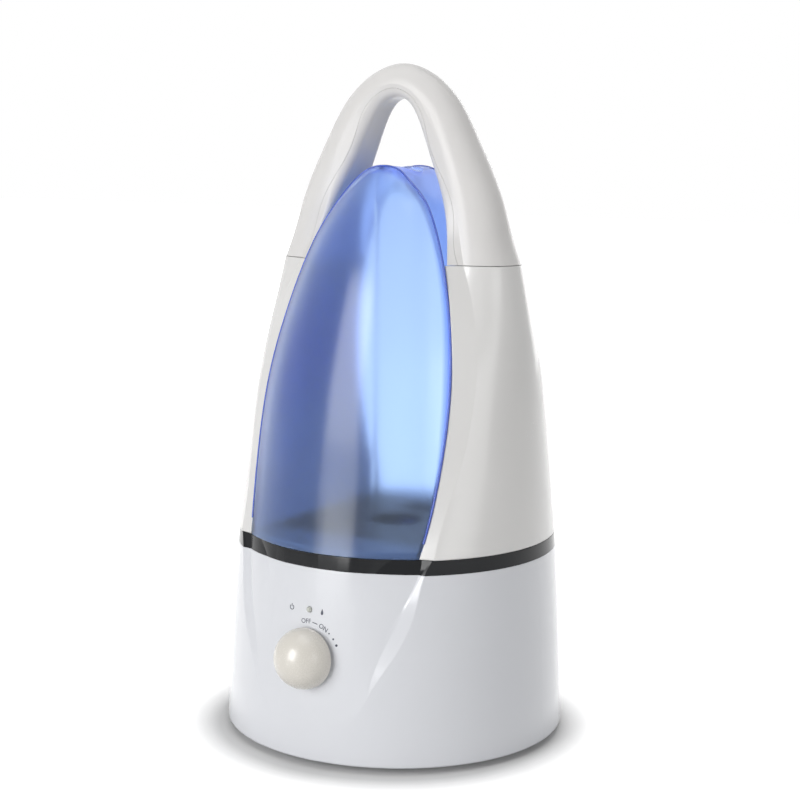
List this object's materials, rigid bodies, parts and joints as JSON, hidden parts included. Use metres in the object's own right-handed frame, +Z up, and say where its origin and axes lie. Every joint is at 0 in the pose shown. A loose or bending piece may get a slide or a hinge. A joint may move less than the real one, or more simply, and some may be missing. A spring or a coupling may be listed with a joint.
{
  "type": "cool mist humidifier",
  "caption": "Cool mist humidifier: round white base with a dial, and a lift-off see-through blue water tank between white side panels that rise into an arched carry handle.",
  "frame": {"origin": "on the floor, under the middle of the overall box; the upright axis of the round base stands 6.9 mm behind it because the knob stands proud at the front", "axes": "+Z up, -Y towards the front with the knob, +X to the right as seen from the front"},
  "size_m": [0.201, 0.2174, 0.39],
  "materials": {
    "white_shell": "smooth gloss",
    "black_gloss": "high gloss",
    "grey_plastic": "fine matte",
    "black_rubber": "soft matte",
    "screw_steel": "plated",
    "cream_knob": "smooth gloss",
    "pot_metal": "plated",
    "lamp_lens": "clear",
    "disc_metal": "satin",
    "alloy": "cast",
    "board_green": "solder mask",
    "board_parts": "moulded",
    "core_iron": "lacquered",
    "copper_wire": "enamelled",
    "fan_black": "moulded",
    "float_white": "moulded",
    "blue_clear": "see-through gloss",
    "cap_blue": "gloss"
  },
  "bodies": {
    "base": {"base_housing": "white_shell", "trim_ring": "black_gloss", "bottom_cover": "grey_plastic", "rubber_feet": "black_rubber", "cover_screws": "screw_steel", "water_basin": "grey_plastic", "basin_screws": "screw_steel", "cord_gland": "black_rubber", "pot_body": "pot_metal", "pot_nut": "pot_metal", "indicator_lamp": "lamp_lens", "transducer_disc": "disc_metal", "transducer_seal": "black_rubber", "transducer_holder": "alloy", "holder_screws": "screw_steel", "driver_board": "board_green", "board_parts": "board_parts", "heat_sink": "alloy", "transformer_core": "core_iron", "transformer_coil": "copper_wire", "fan_frame": "fan_black", "fan_screws": "screw_steel", "air_duct": "grey_plastic", "float_clip": "float_white", "reed_switch": "pot_metal"},
    "knob": {"control_knob": "cream_knob", "pot_shaft": "pot_metal"},
    "float": {"float_ring": "float_white", "float_magnet": "core_iron"},
    "fan": {"fan_rotor": "fan_black"},
    "tank": {"tank_shell": "blue_clear", "tank_floor": "blue_clear", "mist_tube": "blue_clear", "mist_outlet": "white_shell", "right_panel": "white_shell", "left_panel": "white_shell", "handle": "white_shell", "handle_liner": "white_shell"},
    "cap": {"tank_cap": "cap_blue", "cap_gasket": "black_rubber", "valve_spring": "screw_steel"},
    "valve": {"valve_plunger": "float_white", "valve_seal": "black_rubber"}
  },
  "joints": [
    {"name": "tank_lift", "type": "slide", "parent": "base", "child": "tank", "axis": [0, 0, 1], "range_m": [0, 0.16]},
    {"name": "knob_turn", "type": "hinge", "parent": "base", "child": "knob", "pos_m": [0, -0.08953, 0.061], "axis": [0, 0.9976, -0.0698], "range_deg": [0, 270]},
    {"name": "float_rise", "type": "slide", "parent": "base", "child": "float", "axis": [0, 0, 1], "range_m": [0, 0.014]},
    {"name": "fan_spin", "type": "hinge", "parent": "base", "child": "fan", "pos_m": [-0.046, 0.00687, 0.017], "axis": [0, 0, 1], "continuous": true},
    {"name": "cap_turn", "type": "hinge", "parent": "tank", "child": "cap", "pos_m": [0, 0.05037, 0.11], "axis": [0, 0, -1], "range_deg": [0, 180]},
    {"name": "valve_push", "type": "slide", "parent": "cap", "child": "valve", "axis": [0, 0, 1], "range_m": [0, 0.002], "stiffness_N_per_m": 250, "springref_m": -0.006, "deforming": ["valve_spring"]}
  ]
}
